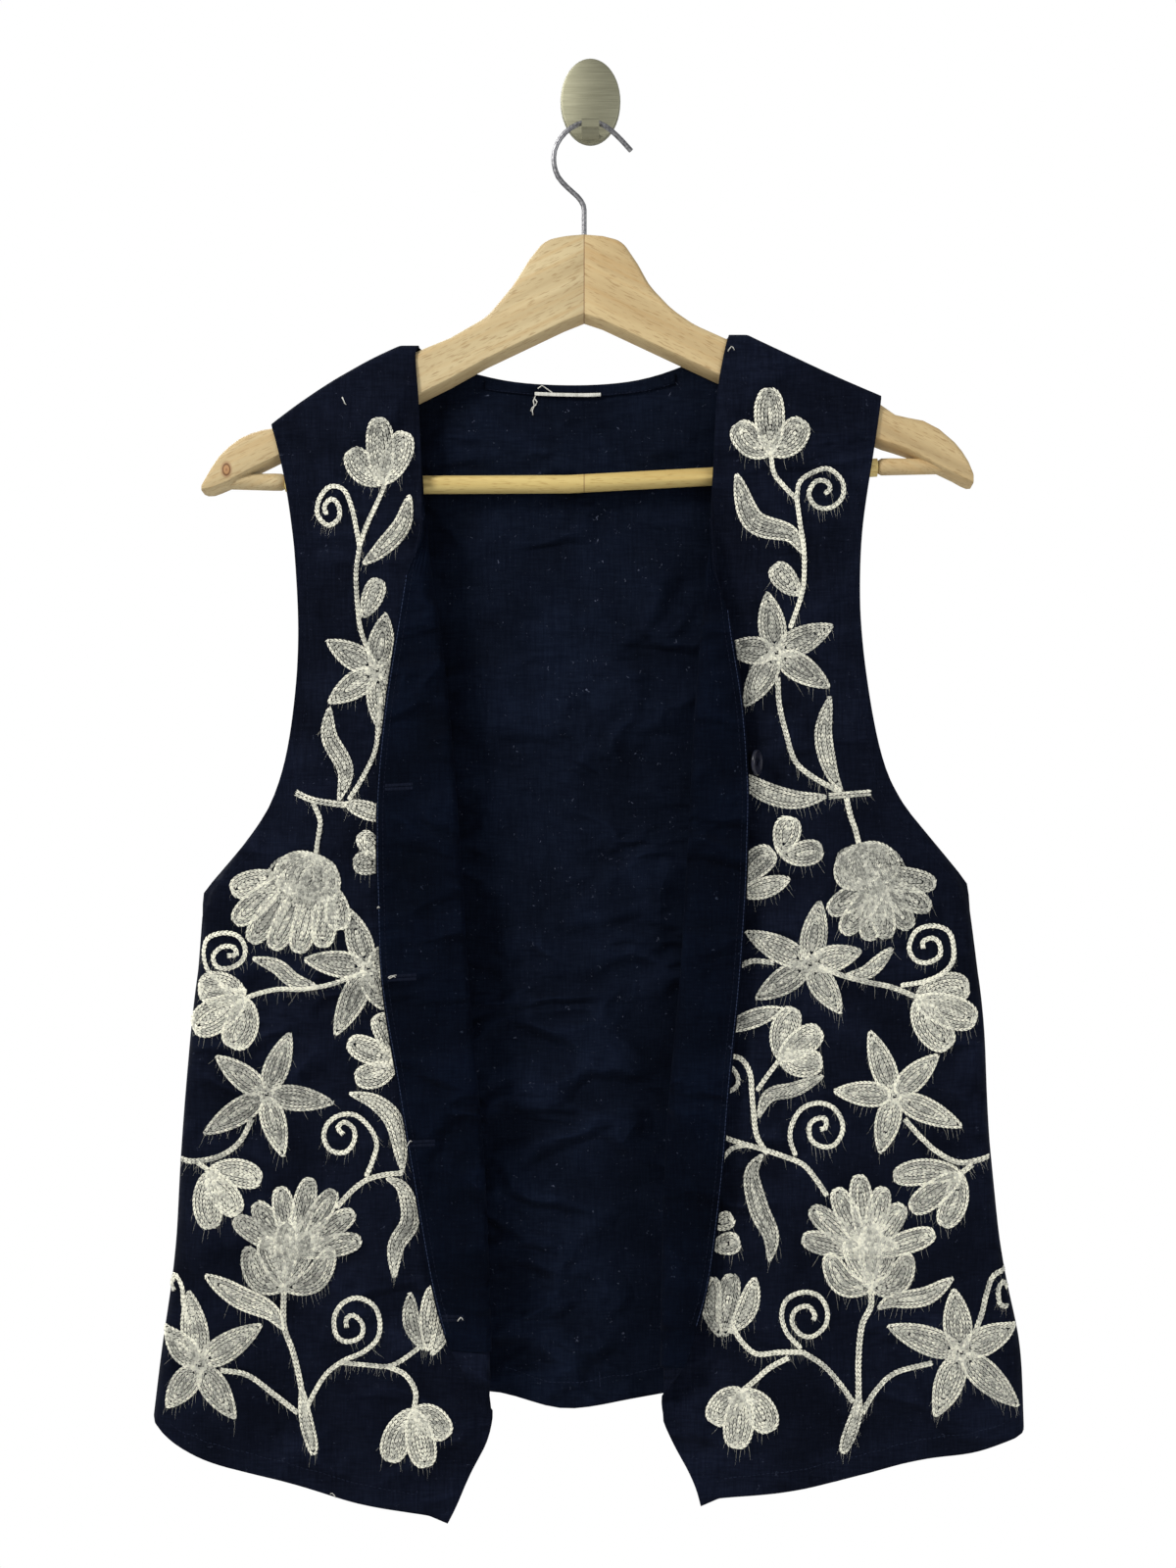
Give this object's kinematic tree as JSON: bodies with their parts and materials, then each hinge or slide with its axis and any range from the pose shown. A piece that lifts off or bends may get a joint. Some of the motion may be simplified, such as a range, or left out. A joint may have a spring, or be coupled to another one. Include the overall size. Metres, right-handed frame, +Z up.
{
  "type": "embroidered vest on a wooden hanger and wall hook",
  "caption": "Navy cotton vest with cream chain-stitch vines, fronts open and edges turned back, hung on a wooden hanger from an oval wall hook.",
  "frame": {"origin": "middle of the wall plate's back face, where it is fastened to the wall", "axes": "+Z up, +Y into the wall, +X to the viewer's right; the viewer stands at -Y"},
  "size_m": [0.5021, 0.0451, 0.846],
  "materials": {
    "navy_cotton": "matt plain-weave cotton, nearly black navy",
    "cream_wool": "soft woollen chain stitch",
    "sewing_thread": "fine navy sewing thread",
    "label_cotton": "white cotton tape",
    "button": "dark navy polished plastic",
    "beech": "lacquered pale beech",
    "hook_wire": "bright plated steel wire",
    "brushed_steel": "brushed stainless steel"
  },
  "bodies": {
    "root": {"right_front": "navy_cotton", "left_front": "navy_cotton", "back": "navy_cotton", "right_front_facing": "navy_cotton", "left_front_facing": "navy_cotton", "back_neck_facing": "navy_cotton", "label_stub": "label_cotton", "button_1": "button", "button_2": "button", "button_3": "button", "button_4": "button", "hanger_right_arm": "beech", "hanger_left_arm": "beech", "hanger_bar": "beech", "hanger_hook": "hook_wire", "wall_hook": "brushed_steel"}
  },
  "joints": []
}
